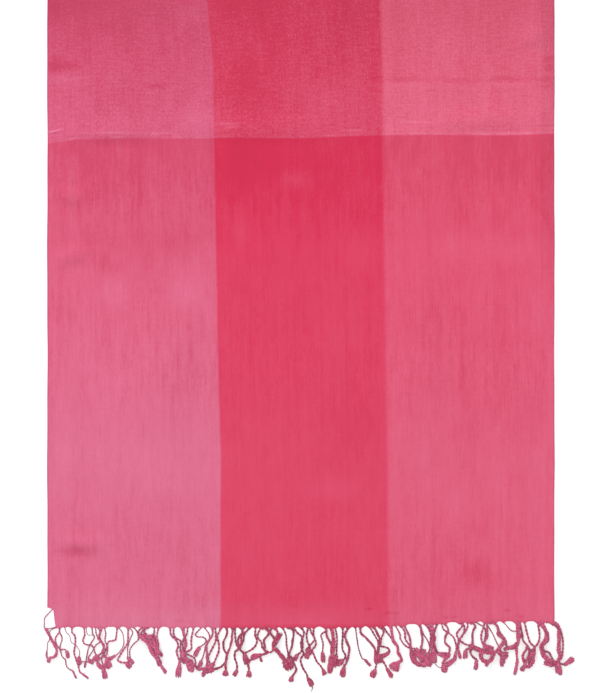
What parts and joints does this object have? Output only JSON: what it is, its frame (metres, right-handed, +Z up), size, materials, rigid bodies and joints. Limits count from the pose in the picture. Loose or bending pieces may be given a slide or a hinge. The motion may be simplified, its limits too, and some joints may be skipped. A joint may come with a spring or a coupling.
{
  "type": "fringed stole laid flat",
  "caption": "Long rectangular woven stole lying flat, with large colour-block checks, soft creases and a knotted, twisted fringe along each short end.",
  "frame": {"origin": "middle of the underside, on the surface that the stole lies on", "axes": "+X across the cloth from selvedge to selvedge, +Y along it from the near fringe to the far fringe, +Z up out of the surface"},
  "size_m": [0.7358, 2.1843, 0.0066],
  "materials": {
    "cloth": "plain weave of slubby crimson and pink yarn, soft low sheen",
    "fringe": "twisted crimson and pink yarn, fuzzy at the knots and tips"
  },
  "bodies": {
    "root": {"cloth": "cloth", "fringe_near": "fringe", "fringe_far": "fringe"}
  },
  "joints": []
}
